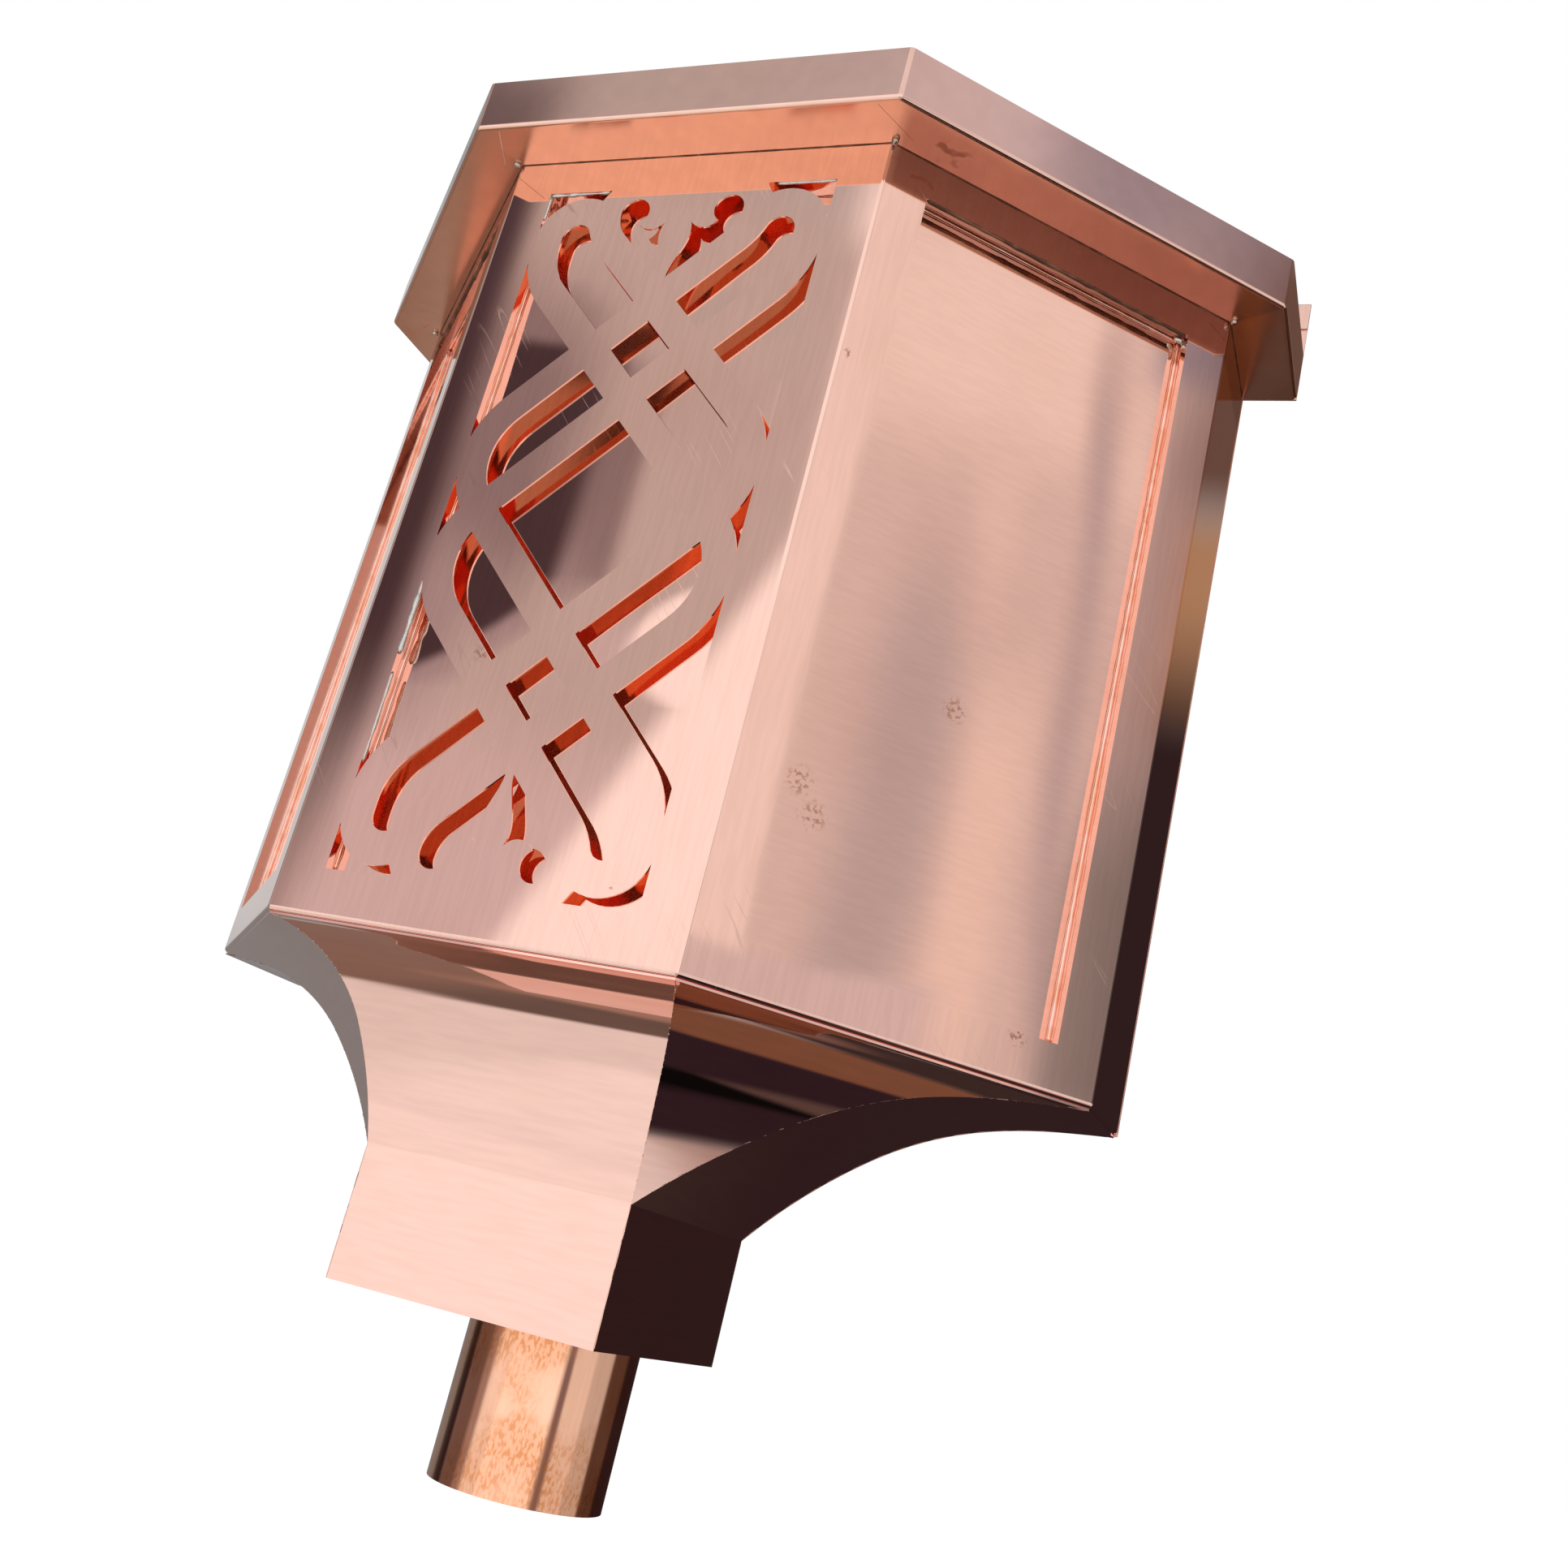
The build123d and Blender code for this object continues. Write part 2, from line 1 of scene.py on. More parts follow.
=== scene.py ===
import bpy
from math import cos, pi, radians, sin
from random import Random
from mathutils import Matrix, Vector


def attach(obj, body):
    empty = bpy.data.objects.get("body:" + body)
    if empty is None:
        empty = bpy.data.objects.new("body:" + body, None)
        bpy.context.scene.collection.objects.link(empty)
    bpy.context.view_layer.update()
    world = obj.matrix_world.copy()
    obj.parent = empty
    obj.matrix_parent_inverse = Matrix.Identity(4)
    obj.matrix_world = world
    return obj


# Looks of the copper hopper head. Metres. +Z is up, the wall face is the plane y = 0 and the pierced
# front faces -Y.
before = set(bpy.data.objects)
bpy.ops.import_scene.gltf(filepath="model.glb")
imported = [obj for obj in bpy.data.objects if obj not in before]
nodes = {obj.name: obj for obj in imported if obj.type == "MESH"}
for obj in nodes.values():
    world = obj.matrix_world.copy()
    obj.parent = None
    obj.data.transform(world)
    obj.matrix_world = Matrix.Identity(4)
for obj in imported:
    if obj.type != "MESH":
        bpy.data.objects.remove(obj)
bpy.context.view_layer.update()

# Camera
CAMERA_AT = (0.37618, -0.75564, -0.50406)
CAMERA_TURN = (107.914, -13.346, 20.298)
CAMERA_LENS = 37.003
CAMERA_SENSOR = 36.0

# Surroundings, as levels of light by direction. Azimuth 0 is in front, +90 at the right.
STUDIO_BASE = 0.55
DOME_LEVEL = (0.50, 0.51, 0.54)
DOME_FROM, DOME_TO = 36.0, 40.0
# name: level, then azimuth and elevation, each with its half width and softness, and the lean of
# the patch, in degrees of azimuth for each degree of elevation. A patch covers those before it.
STUDIO_PATCHES = {
    "left_upper": (0.34, (-95, 47, 6), (24, 17, 4), 0),
    "left_window": (0.60, (-131, 5, 3), (18, 14, 3), 0),
    "left_middle": (0.24, (-118, 34, 6), (-6, 11, 4), 0),
    "left_slot": (0.05, (-94, 10, 5), (-5, 6, 3), 0),
    "left_low": (0.19, (-76, 9, 4), (-6, 6, 3), 0),
    "left_low_edge": (0.40, (-57, 8, 5), (-6, 6, 3), 0),
    "left_floor": ((0.25, 0.18, 0.15), (-116, 26, 3), (-48, 28, 3), 0),
    "left_floor_warm": ((0.36, 0.24, 0.19), (-124, 9, 4), (-56, 5, 3), 0),
    "front": (1.10, (11, 38, 1.2), (5, 34, 1.5), 0),
    "front_right": (0.84, (54, 7, 2), (26, 11, 4), 0),
    "front_low": (1.02, (-5, 44, 8), (-14, 21, 2), 0),
    "front_floor": (0.82, (-56, 36, 3), (-52, 20, 3), 0),
    "front_floor_near": (0.98, (-34, 12, 4), (-41, 9, 3), 0),
    "left_floor_dark": ((0.15, 0.115, 0.10), (-101, 13, 3), (-64, 9, 3), 0),
    "right_low": (0.85, (78, 26, 6), (-12, 20, 2), 0),
    "right_slot": (0.40, (54, 5, 3), (-6, 12, 4), 0),
    "right_low_near": (0.58, (63, 5, 3), (-6, 7, 3), 0),
    "right_low_far": (0.62, (104, 14, 3), (-6, 8, 3), 0),
    "over_front": (0.88, (20, 43, 5), (42, 4, 2), 0),
    "over_left": (0.50, (-42, 12, 3), (38, 4, 1), 0),
    "over_right": (0.34, (96, 24, 4), (42, 7, 3), 0),
    "over_panel": ((0.63, 0.62, 0.67), (64, 7, 1.5), (41, 3.5, 1), 0),
    "face": ((0.56, 0.53, 0.52), (-35, 8.6, 0.4), (22, 14, 1), 0),
    "face_foot": ((0.67, 0.61, 0.64), (-35, 8.6, 0.4), (10, 6.5, 2.5), 0),
    "face_dark": ((0.28, 0.235, 0.25), (-38.8, 3.0, 1.6), (26.0, 5, 3), 0),
    "face_side": ((0.40, 0.345, 0.38), (-40.0, 2.0, 1.2), (19, 3, 3), 0),
    "face_glow": (1.10, (-22.6, 10, 0.6), (11, 15.5, 1.2), 0.41),
    "face_fold": (0.55, (-49, 7, 2), (20, 14, 4), 0),
    "face_shade_foot": ((0.36, 0.31, 0.32), (-43.2, 2.6, 0.8), (8, 8, 3), 0),
    "face_shade": ((0.07, 0.047, 0.055), (-42.6, 2.9, 0.6), (24.5, 11.5, 6.5), 0),
    "face_shade_head": ((0.07, 0.045, 0.06), (-42.4, 2.6, 0.6), (33, 4, 3), 0),
    "panel_stile": ((0.93, 0.87, 0.84), (64, 1.4, 0.25), (23, 16, 1), 0),
    "panel": ((0.72, 0.66, 0.64), (71, 5.6, 0.2), (23, 14.5, 1), 0),
    "panel_top": ((0.90, 0.84, 0.80), (69, 4.8, 0.6), (34, 3.5, 2), 0),
    "panel_top_end": ((0.88, 0.81, 0.77), (76.4, 1.2, 0.8), (32, 3, 2), 0),
    "panel_glow": ((0.86, 0.77, 0.71), (73.0, 1.2, 0.9), (15, 7, 3), 0.0),
    "panel_glow_over": ((0.82, 0.74, 0.70), (70.8, 0.9, 0.8), (27, 3.5, 2.5), 0.0),
    "panel_shade": ((0.53, 0.505, 0.52), (69.3, 1.7, 1.3), (17, 9, 4), 0),
    "panel_streak": ((0.53, 0.49, 0.51), (75.2, 0.5, 0.6), (22, 12, 3), -0.10),
    "panel_foot": ((0.70, 0.65, 0.67), (67.5, 5, 1), (9.4, 2.1, 0.3), 0),
    "panel_edge": ((0.46, 0.41, 0.42), (78, 1.4, 0.5), (25, 9, 3), 0),
    "panel_edge_foot": (0.30, (78.4, 1.8, 0.8), (13, 6, 3), 0),
    "over_edge": ((0.33, 0.33, 0.41), (73.5, 3.5, 1.5), (39.5, 3, 0.8), 0),
    "over_edge_end": ((0.33, 0.33, 0.41), (81, 5, 1), (37, 3.5, 0.8), 0),
    "right_warm": ((0.42, 0.25, 0.14), (132, 53, 3), (25.5, 4, 1.5), 0),
    "right_upper": ((0.14, 0.08, 0.06), (132, 53, 3), (34, 4.5, 1.5), 0),
    "right_back": (0.07, (112, 32, 4), (12, 11, 2), 0),
    "behind": ((0.030, 0.016, 0.018), (158, 39, 3), (-9, 33, 3), 0),
    "behind_near": ((0.10, 0.06, 0.05), (128, 8, 4), (-16, 9, 3), 0),
    "right_floor": ((0.030, 0.017, 0.025), (125, 67, 3), (-66, 25, 3), 0),
    "right_floor_black": (0.004, (83, 9, 3), (-57, 5, 2), 0),
    "right_floor_grey": ((0.105, 0.075, 0.069), (99, 8, 3), (-57, 4, 2), 0),
    "behind_floor": ((0.20, 0.10, 0.06), (176, 20, 4), (-57, 14, 3), 0),
    "behind_low": ((0.045, 0.030, 0.028), (180, 20, 3), (-33, 9, 3), 0),
    "behind_tan": ((0.20, 0.12, 0.10), (-156, 9, 2), (-36, 5, 2), 0),
    "behind_amber": ((0.34, 0.17, 0.06), (167, 6, 3), (-40, 6, 3), 0),
    "right_floor_edge": ((0.40, 0.31, 0.29), (78, 9, 3), (-36, 5, 1.5), 0),
    "right_floor_near": (0.80, (62, 9, 4), (-36, 5, 1.5), 0),
    "tube_dusk": ((0.17, 0.125, 0.12), (-67, 19, 8), (-5.5, 4.5, 1.5), 0),
    "tube_dusk_near": ((0.38, 0.30, 0.29), (-53, 5, 4), (-5.5, 4.5, 1.5), 0),
    "tube_edge": ((0.035, 0.020, 0.024), (-90.5, 5, 3), (-5.5, 4.5, 1.5), 0),
    "tube_front": (1.26, (12, 35, 2), (-5.5, 4.5, 1.5), 0),
    "tube_right": (0.86, (68, 20, 3), (-5.5, 4.5, 1.5), 0),
    "tube_stripe": ((0.24, 0.18, 0.20), (55.5, 4.5, 2), (-5.5, 4.5, 1.5), 0),
    "tube_shade": ((0.11, 0.066, 0.050), (133, 14, 4), (-5.5, 4.5, 1.5), 0),
}
FLOOR_Z = -0.80
FLOOR_HALF = 60.0
FLOOR_PAINT = 0.85
FLOOR_GLOW = 0.62

# Copper and solder
COPPER = (0.955, 0.625, 0.53)
# Painted bounce light: a deeper orange for the rim's underside, standing in for the light the copper below
# reflects up into it
SOFFIT_PAINTED_BOUNCE = (0.955, 0.54, 0.37)
TUBE_COPPER = (0.955, 0.54, 0.37)
# Inward faces: the duller back of the sheet, with painted bounce light in its deeper orange for the light
# bounced about inside the recesses
INNER_DULL_AND_BOUNCE = (1.0, 0.55, 0.33)
# Painted shade: a darker colour for the downward top ledges of the side panels' recesses
LEDGE_PAINTED_SHADE = (0.66, 0.40, 0.32)
TARNISH = (0.62, 0.30, 0.20)
PATINA = (0.72, 0.27, 0.10)
STAIN = (0.45, 0.16, 0.06)
# Painted shade for the chamfer strip under the rim
RIM_SHADE_PAINT = (0.64, 0.34, 0.30)
FLUX = (0.14, 0.06, 0.035)
SOLDER = (0.66, 0.62, 0.58)
SHARP_FOLD = 28.0
# The sheets mirror each other, so light needs more bounces to leave the recesses
GLOSSY_BOUNCES = 12

# Places on the copper, in metres: the soffit, the folds of the body, its windows and the outlet
BODY_X, SIDE_Y = 0.238, -0.0675
FRONT_X, FRONT_Y = 0.100, -0.2055
FOLD = 0.004
WINDOW_TOP, WINDOW_FOOT = -0.0187, -0.37507
FRONT_WINDOW, FRONT_RECESS = 0.0769, 0.0063
CHAMFER_WINDOW, CHAMFER_RECESS = 0.075, 0.0078
BOX_FOOT = -0.5395
OUTLET_AT, OUTLET_R = (0.012, -0.056), 0.040
SEAM_END = -0.004
DIAGONAL = 0.5 ** 0.5
# Bow of the backing sheet: a ridge at BOW_X, rounded over BOW_ROUND, between BOW_Z - BOW_HALF and
# BOW_Z + BOW_HALF, with its slopes and its height
BOW_X, BOW_ROUND = 0.022, 0.0004
BOW_LEAN, BOW_FALL, BOW_RISE = 0.0145, -0.0305, 0.002
BOW_Z, BOW_HALF, BOW_SOFT = -0.175, 0.08, 0.03
SOFFIT_FALL = 0.044
# Small brown stains: centre and radius
BODY_STAINS = [
    ((0.2078, -0.0977, -0.3773), 0.006),
    ((0.1031, -0.2024, -0.1116), 0.003),
    ((0.0620, -0.2055, -0.3650), 0.002),
    ((-0.0329, -0.2055, -0.2690), 0.005),
]
PANEL_STAINS = [
    ((0.1179, -0.1766, -0.3019), 0.009),
    ((0.1245, -0.1700, -0.3145), 0.009),
    ((0.1620, -0.1325, -0.2470), 0.008),
]
SOFFIT_STAINS = [((0.1219, -0.1991, 0.0), 0.010), ((0.1290, -0.1925, 0.0), 0.008)]


# Node helpers
def add_node(tree, kind, inputs=None, **settings):
    """Adds a shader node, with its settings and its inputs, which are values or other sockets."""
    node = tree.nodes.new(kind)
    for name, value in settings.items():
        setattr(node, name, value)
    for key, value in (inputs or {}).items():
        if isinstance(value, bpy.types.NodeSocket):
            tree.links.new(value, node.inputs[key])
        else:
            node.inputs[key].default_value = value
    return node


def calc(tree, operation, a, b=0.0, c=0.0):
    return add_node(tree, "ShaderNodeMath", {0: a, 1: b, 2: c}, operation=operation).outputs[0]


def ramp(tree, value, low, high, to_low=0.0, to_high=1.0):
    """Smooth step of a value between two levels."""
    inputs = {"Value": value, "From Min": low, "From Max": high, "To Min": to_low, "To Max": to_high}
    node = add_node(tree, "ShaderNodeMapRange", inputs, interpolation_type="SMOOTHSTEP")
    return node.outputs["Result"]


def mix_colour(tree, share, a, b):
    node = add_node(tree, "ShaderNodeMix", {0: share}, data_type="RGBA")
    for index, value in ((6, a), (7, b)):
        if isinstance(value, bpy.types.NodeSocket):
            tree.links.new(value, node.inputs[index])
        else:
            node.inputs[index].default_value = (*value[:3], 1.0)
    return node.outputs[2]


def noise(tree, coords, scale, detail=2.0, stretch=(1.0, 1.0, 1.0), offset=(0.0, 0.0, 0.0)):
    inputs = {"Vector": coords, "Scale": stretch, "Location": offset}
    placed = add_node(tree, "ShaderNodeMapping", inputs).outputs[0]
    inputs = {"Vector": placed, "Scale": scale, "Detail": detail}
    return add_node(tree, "ShaderNodeTexNoise", inputs).outputs["Fac"]


# Studio
def soft_band(tree, value, half, soft):
    """1 within half of zero, falling to 0 over a soft edge."""
    return ramp(tree, calc(tree, "ABSOLUTE", value), half - soft, half + soft, 1.0, 0.0)


def make_world():
    world = bpy.data.worlds.new("studio")
    world.use_nodes = True
    tree = world.node_tree
    tree.nodes.clear()
    direction = add_node(tree, "ShaderNodeTexCoord").outputs["Generated"]
    axes = add_node(tree, "ShaderNodeSeparateXYZ", {0: direction}).outputs
    toward_front = calc(tree, "MULTIPLY", axes[1], -1.0)
    azimuth = calc(tree, "DEGREES", calc(tree, "ARCTAN2", axes[0], toward_front))
    elevation = calc(tree, "DEGREES", calc(tree, "ARCSINE", axes[2]))
    dome = ramp(tree, elevation, DOME_FROM, DOME_TO)
    colour = mix_colour(tree, dome, (STUDIO_BASE,) * 3, DOME_LEVEL)
    for level, (az, az_half, az_soft), (el, el_half, el_soft), lean in STUDIO_PATCHES.values():
        raised = calc(tree, "SUBTRACT", elevation, el)
        leaning = calc(tree, "MULTIPLY_ADD", raised, -lean, azimuth)
        turned = calc(tree, "WRAP", calc(tree, "SUBTRACT", leaning, az), 180.0, -180.0)
        across = soft_band(tree, turned, az_half, az_soft)
        up = soft_band(tree, raised, el_half, el_soft)
        light = level if isinstance(level, tuple) else (level,) * 3
        colour = mix_colour(tree, calc(tree, "MULTIPLY", across, up), colour, light)
    seen = add_node(tree, "ShaderNodeLightPath").outputs["Is Camera Ray"]
    colour = mix_colour(tree, seen, colour, (1.0, 1.0, 1.0))
    background = add_node(tree, "ShaderNodeBackground", {"Color": colour, "Strength": 1.0})
    output = add_node(tree, "ShaderNodeOutputWorld")
    tree.links.new(background.outputs[0], output.inputs["Surface"])
    world.cycles.sampling_method = "NONE"
    bpy.context.scene.world = world


def make_floor():
    mesh = bpy.data.meshes.new("floor")
    corners = [(x * FLOOR_HALF, y * FLOOR_HALF, FLOOR_Z) for x, y in ((-1, -1), (1, -1), (1, 1), (-1, 1))]
    mesh.from_pydata(corners, [], [(0, 1, 2, 3)])
    floor = bpy.data.objects.new("floor", mesh)
    bpy.context.collection.objects.link(floor)
    material = bpy.data.materials.new("floor_paint")
    material.use_nodes = True
    tree = material.node_tree
    tree.nodes.clear()
    paint = add_node(tree, "ShaderNodeBsdfDiffuse", {"Color": (*(FLOOR_PAINT,) * 3, 1.0)}).outputs[0]
    seen = add_node(tree, "ShaderNodeLightPath").outputs["Is Camera Ray"]
    strength = calc(tree, "MULTIPLY", seen, FLOOR_GLOW)
    glow = add_node(tree, "ShaderNodeEmission", {"Strength": strength}).outputs[0]
    both = add_node(tree, "ShaderNodeAddShader", {0: paint, 1: glow}).outputs[0]
    output = add_node(tree, "ShaderNodeOutputMaterial")
    tree.links.new(both, output.inputs["Surface"])
    mesh.materials.append(material)
    floor.visible_glossy = False


def make_camera():
    data = bpy.data.cameras.new("camera")
    data.lens = CAMERA_LENS
    data.sensor_width = CAMERA_SENSOR
    camera = bpy.data.objects.new("camera", data)
    camera.location = CAMERA_AT
    camera.rotation_euler = [radians(angle) for angle in CAMERA_TURN]
    bpy.context.collection.objects.link(camera)
    bpy.context.scene.camera = camera


# Materials
def new_material(name):
    material = bpy.data.materials.new(name)
    material.use_nodes = True
    tree = material.node_tree
    tree.nodes.clear()
    return material, tree, add_node(tree, "ShaderNodeTexCoord").outputs["Object"]


def finish_metal(tree, base, rough, normal, metallic=1.0):
    inputs = {"Base Color": base, "Metallic": metallic, "Roughness": rough, "Normal": normal}
    surface = add_node(tree, "ShaderNodeBsdfPrincipled", inputs).outputs[0]
    output = add_node(tree, "ShaderNodeOutputMaterial")
    tree.links.new(surface, output.inputs["Surface"])


def bump(tree, height, distance, normal=None):
    inputs = {"Strength": 1.0, "Distance": distance, "Height": height}
    if normal:
        inputs["Normal"] = normal
    return add_node(tree, "ShaderNodeBump", inputs).outputs[0]


def scratches(tree, coords):
    """Long thin scratches at a slant: the level lines of a drawn-out noise, kept only in patches."""
    inputs = {"Vector": coords, "Rotation": (0.0, radians(38), 0.0)}
    turned = add_node(tree, "ShaderNodeMapping", inputs).outputs[0]
    wander = noise(tree, turned, 1.0, 0.0, (150.0, 20.0, 6.0))
    line = ramp(tree, calc(tree, "ABSOLUTE", calc(tree, "SUBTRACT", wander, 0.5)), 0.0, 0.016, 1.0, 0.0)
    kept = ramp(tree, noise(tree, coords, 22.0, 1.0, offset=(8.3, 4.9, 2.2)), 0.55, 0.70)
    aside = add_node(tree, "ShaderNodeSeparateXYZ", {0: coords}).outputs[0]
    seen = ramp(tree, calc(tree, "ABSOLUTE", aside), BODY_X - 0.004, BODY_X - 0.001, 1.0, 0.0)
    return calc(tree, "MULTIPLY", line, calc(tree, "MULTIPLY", kept, seen))


def stain_mask(tree, coords, stains, fineness):
    """Speckles inside small round places."""
    speckle = ramp(tree, noise(tree, coords, fineness, 1.0), 0.48, 0.64)
    mask = 0.0
    for centre, radius in stains:
        distance = add_node(tree, "ShaderNodeVectorMath", {0: coords, 1: centre}, operation="DISTANCE")
        spot = ramp(tree, distance.outputs["Value"], 0.3 * radius, radius, 1.0, 0.0)
        mask = calc(tree, "MAXIMUM", mask, spot)
    return calc(tree, "MULTIPLY", mask, speckle)


def front_bow(tree, coords):
    """Height of the backing sheet behind the interlace, which bows out towards its middle."""
    axes = add_node(tree, "ShaderNodeSeparateXYZ", {0: coords}).outputs
    aside = calc(tree, "SUBTRACT", axes[0], BOW_X)
    rounded = calc(tree, "SQRT", calc(tree, "MULTIPLY_ADD", aside, aside, BOW_ROUND))
    fall = calc(tree, "MULTIPLY_ADD", rounded, BOW_FALL, BOW_RISE)
    ridge = calc(tree, "MULTIPLY_ADD", axes[0], BOW_LEAN, fall)
    middle = soft_band(tree, calc(tree, "SUBTRACT", axes[2], BOW_Z), BOW_HALF, BOW_SOFT)
    return calc(tree, "MULTIPLY", ridge, middle)


def soffit_slope(tree, coords):
    """Height that makes the soffit slope down a little towards its outer edge."""
    axes = add_node(tree, "ShaderNodeSeparateXYZ", {0: coords}).outputs
    aside = calc(tree, "ABSOLUTE", axes[0])
    from_front = calc(tree, "SUBTRACT", FRONT_Y, axes[1])
    from_side = calc(tree, "SUBTRACT", aside, BODY_X)
    reach = calc(tree, "SUBTRACT", calc(tree, "SUBTRACT", aside, axes[1]), FRONT_X - FRONT_Y)
    from_chamfer = calc(tree, "MULTIPLY", reach, DIAGONAL)
    outward = calc(tree, "MAXIMUM", calc(tree, "MAXIMUM", from_front, from_side), from_chamfer)
    return calc(tree, "MULTIPLY", outward, SOFFIT_FALL)


def painted_rim_shade(tree, coords):
    """Painted shade: darkened strip of the chamfer faces between the rim and the windows, standing in for
    the dark reflection under the rim.
    """
    axes = add_node(tree, "ShaderNodeSeparateXYZ", {0: coords}).outputs
    high = ramp(tree, axes[2], WINDOW_TOP - 0.004, WINDOW_TOP + 0.001)
    aside = ramp(tree, calc(tree, "ABSOLUTE", axes[0]), FRONT_X + 0.0005, FRONT_X + 0.004)
    return calc(tree, "MULTIPLY", high, aside)


def copper(name, colour=COPPER, rough=(0.03, 0.05), brush=(600.0, 600.0, 45.0), grain=0.05, dents=0.0008,
           soffit=None, inner=None, rim_shaded=False, bow=None, patina=0.0, ripple=0.0, scratched=False,
           stains=(), fineness=520.0):
    """Polished sheet copper: fine brush marks, scratches, stains, and a sheet that isn't quite flat. Where
    asked, it also paints shade on the chamfer strip under the rim, paints shade or bounce light on faces
    pointing down, and paints bounce light on inward faces.
    """
    material, tree, coords = new_material(name)
    geometry = add_node(tree, "ShaderNodeNewGeometry").outputs
    streaks = noise(tree, coords, 1.0, 1.0, brush)
    clouds = noise(tree, coords, 11.0, 1.0)

    polish = ramp(tree, clouds, 0.3, 0.7, rough[0], rough[1])
    metallic = 1.0
    # Faces pointing down take the colour given: painted bounce light under the rim, painted shade on the
    # panels' top ledges
    if soffit:
        up = add_node(tree, "ShaderNodeSeparateXYZ", {0: geometry["Normal"]}).outputs[2]
        below = ramp(tree, up, -0.6, -0.9)
        colour = mix_colour(tree, below, colour, soffit)
        polish = calc(tree, "MULTIPLY_ADD", below, 0.12, polish)
    # Inward faces: duller copper, and painted bounce light in the deeper orange
    if inner:
        flat = add_node(tree, "ShaderNodeVectorMath", {0: coords, 1: (1.0, 1.0, 0.0)}, operation="MULTIPLY")
        inputs = {0: flat.outputs[0], 1: geometry["Normal"]}
        outward = add_node(tree, "ShaderNodeVectorMath", inputs, operation="DOT_PRODUCT").outputs["Value"]
        inside = ramp(tree, outward, -0.12, -0.16)
        colour = mix_colour(tree, inside, colour, inner)
        polish = calc(tree, "MAXIMUM", polish, calc(tree, "MULTIPLY", inside, 0.07))
        metallic = calc(tree, "MULTIPLY_ADD", inside, -0.15, 1.0)

    base = mix_colour(tree, calc(tree, "MULTIPLY", ramp(tree, clouds, 0.45, 0.8), 0.10), colour, TARNISH)
    # Painted shade: darkens the chamfer strip under the rim
    if rim_shaded:
        base = mix_colour(tree, painted_rim_shade(tree, coords), base, RIM_SHADE_PAINT)
    if patina:
        bloom = ramp(tree, noise(tree, coords, 26.0, 3.0), 0.40, 0.62)
        flecks = ramp(tree, noise(tree, coords, 1.0, 1.0, (820.0, 820.0, 340.0)), 0.44, 0.62)
        worn = calc(tree, "MULTIPLY", calc(tree, "MULTIPLY_ADD", flecks, 0.6, 0.4), bloom)
        worn = calc(tree, "MULTIPLY", worn, patina)
        base = mix_colour(tree, worn, base, PATINA)
        polish = calc(tree, "MULTIPLY_ADD", worn, 0.10, polish)
    if stains:
        stained = stain_mask(tree, coords, stains, fineness)
        base = mix_colour(tree, calc(tree, "MULTIPLY", stained, 0.6), base, STAIN)
        polish = calc(tree, "MULTIPLY_ADD", stained, 0.2, polish)
    base = mix_colour(tree, ramp(tree, streaks, 0.3, 0.7, 1.0 - grain, 1.0), (0.0, 0.0, 0.0), base)
    if scratched:
        polish = calc(tree, "MULTIPLY_ADD", scratches(tree, coords), 0.22, polish)

    normal = bump(tree, noise(tree, coords, 5.0, 1.0, (1.0, 1.0, 0.7)), dents)
    if bow:
        normal = bump(tree, bow(tree, coords), 1.0, normal)
    if ripple:
        normal = bump(tree, noise(tree, coords, 1.0, 0.0, (7.0, 16.0, 24.0)), ripple, normal)
    finish_metal(tree, base, polish, normal, metallic)
    return material


def seam_metal(name, colour, other, rough, lumpy=0.0004, metallic=1.0):
    """Solder or flux: lumpy, in two tones."""
    material, tree, coords = new_material(name)
    lumps = noise(tree, coords, 260.0, 3.0)
    base = mix_colour(tree, ramp(tree, noise(tree, coords, 70.0, 2.0), 0.42, 0.62), colour, other)
    polish = ramp(tree, lumps, 0.3, 0.7, rough, rough + 0.15)
    finish_metal(tree, base, polish, bump(tree, lumps, lumpy), metallic)
    return material


def dress(node_names, material):
    """Gives CAD nodes a material and smooth shading between their sharp edges."""
    for name in node_names:
        item = nodes[name]
        item.data.materials.clear()
        item.data.materials.append(material)
        item.data.shade_smooth()
        weld = item.modifiers.new("weld", "WELD")
        weld.merge_threshold = 1e-6
        split = item.modifiers.new("split", "EDGE_SPLIT")
        split.split_angle = radians(SHARP_FOLD)
        item.modifiers.new("normals", "WEIGHTED_NORMAL")


def dress_frame():
    body = copper("body_copper", inner=INNER_DULL_AND_BOUNCE, rim_shaded=True, scratched=True, stains=BODY_STAINS)
    dress(["body_skin"], body)
    dress(["front_backing_tray"], copper("backing_copper", bow=front_bow, scratched=True))
    # The panels' downward top ledges get painted shade
    panel = copper("panel_copper", brush=(70.0, 70.0, 500.0), grain=0.04, soffit=LEDGE_PAINTED_SHADE,
                   stains=PANEL_STAINS)
    dress(["right_panel_tray", "left_panel_tray"], panel)
    # The rim's underside gets painted bounce light
    rim = copper("rim_copper", rough=(0.07, 0.12), brush=(90.0, 90.0, 90.0), dents=0.0014,
                 soffit=SOFFIT_PAINTED_BOUNCE, bow=soffit_slope, stains=SOFFIT_STAINS, fineness=150.0)
    dress(["rim_band"], rim)
    dress(["back_plate"], copper("back_copper", rough=(0.3, 0.4)))
    coves = ["front_cove", "right_chamfer_cove", "left_chamfer_cove", "right_side_cove", "left_side_cove"]
    dress(coves, copper("cove_copper", brush=(40.0, 40.0, 400.0), dents=0.0009, ripple=0.00010))
    outlet = copper("outlet_copper", TUBE_COPPER, rough=(0.05, 0.09), dents=0.0005, patina=0.9)
    dress(["box_bottom", "outlet_spigot"], outlet)


# Solder
STEPS_PER_KNOT = 3
END_TAPER = 0.3
# Not along any run of solder
SLANT = Vector((0.31, 0.17, 0.93))
RING_STEPS = 72
